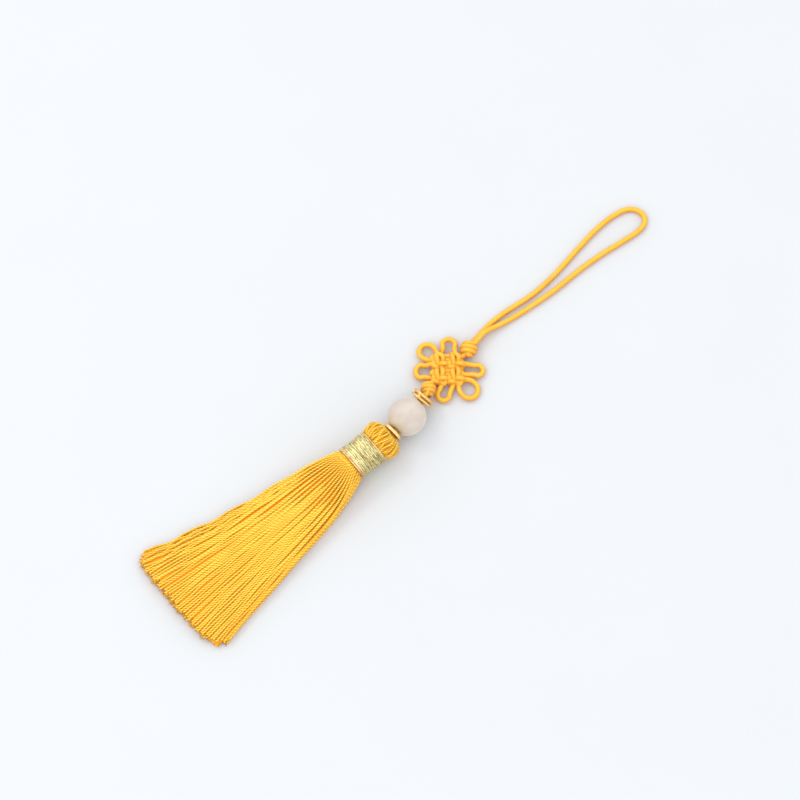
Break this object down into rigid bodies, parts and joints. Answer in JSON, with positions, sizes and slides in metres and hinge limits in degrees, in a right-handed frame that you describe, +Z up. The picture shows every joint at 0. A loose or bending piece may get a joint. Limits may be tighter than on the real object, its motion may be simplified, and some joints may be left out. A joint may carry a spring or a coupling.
{
  "type": "silk tassel with knotted hanging cord",
  "caption": "Yellow tassel lying flat, with a wound metallic neck, a frosted bead between gold cap and ring, an eared flat knot and a long hanging loop.",
  "frame": {"origin": "on the table under the middle of the piece without its hanging loop", "axes": "+X from the skirt's cut end along the tassel to the hanging loop, +Z up from the table it lies on, +Y across"},
  "size_m": [0.1295, 0.0272, 0.008],
  "materials": {
    "yellow_cord": "braided satin",
    "yellow_thread": "twisted silky",
    "metallic_thread": "wound metallic thread",
    "polished_gold": "polished",
    "frosted_glass": "frosted"
  },
  "bodies": {
    "root": {"hanging_loop": "yellow_cord", "knotwork": "yellow_cord", "gold_ring": "polished_gold", "frosted_bead": "frosted_glass", "gold_cap": "polished_gold", "tassel": "yellow_thread", "gold_band": "metallic_thread"}
  },
  "joints": []
}
